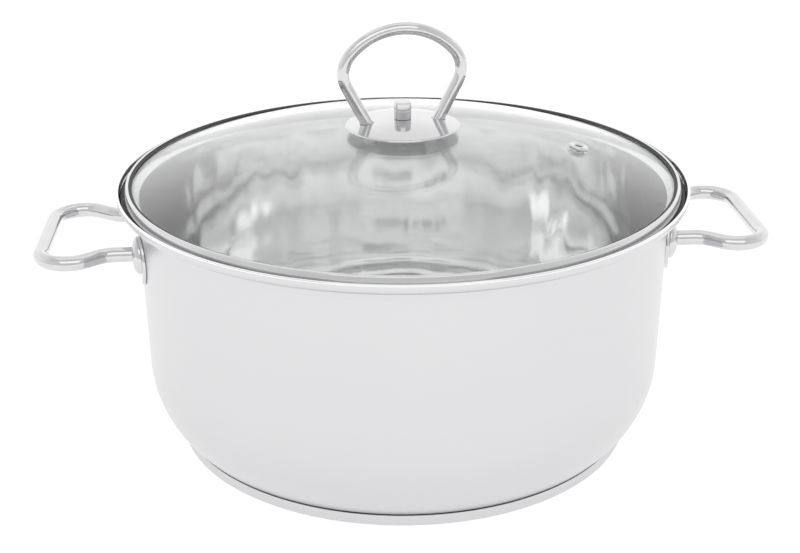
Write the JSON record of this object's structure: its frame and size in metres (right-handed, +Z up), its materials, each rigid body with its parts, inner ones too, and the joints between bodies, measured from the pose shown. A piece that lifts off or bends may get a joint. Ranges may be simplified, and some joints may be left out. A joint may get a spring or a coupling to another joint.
{
  "type": "stock pot",
  "caption": "Round stainless steel stock pot with a flared lip, a sandwich base, bent-bar side handles and a lift-off domed glass lid with a loop knob and steam vent.",
  "frame": {"origin": "centre of the flat underside of the base, on the surface the pot stands on", "axes": "+Z up along the pot's axis; the two side handles lie on +X and -X; -Y is the side seen in front"},
  "size_m": [0.384, 0.3, 0.2219],
  "materials": {
    "satin_steel": "fine satin, lightly spun",
    "polished_steel": "mirror polished",
    "aluminium_core": "plain rolled",
    "clear_glass": "clear, polished",
    "dark_silicone": "matte",
    "clear_silicone": "translucent, pale"
  },
  "bodies": {
    "pot": {"pot_body": "satin_steel", "base_core_disc": "aluminium_core", "base_cap": "satin_steel", "side_handle_right": "polished_steel", "handle_flange_right_front": "polished_steel", "handle_flange_right_rear": "polished_steel", "side_handle_left": "polished_steel", "handle_flange_left_front": "polished_steel", "handle_flange_left_rear": "polished_steel"},
    "lid": {"lid_glass": "clear_glass", "lid_band": "polished_steel", "lid_seal": "dark_silicone", "lid_rest_ring": "dark_silicone", "vent_eyelet": "polished_steel", "vent_washer": "polished_steel", "knob_plate": "polished_steel", "knob_loop": "polished_steel", "knob_nut": "polished_steel", "knob_screw": "satin_steel", "knob_spacer": "clear_silicone", "knob_hole_bush": "clear_silicone", "knob_lower_gasket": "clear_silicone", "knob_washer": "satin_steel", "knob_lock_washer": "satin_steel"}
  },
  "joints": [
    {"name": "lid_lift", "type": "slide", "parent": "pot", "child": "lid", "axis": [0, 0, 1], "range_m": [0, 0.12]}
  ]
}
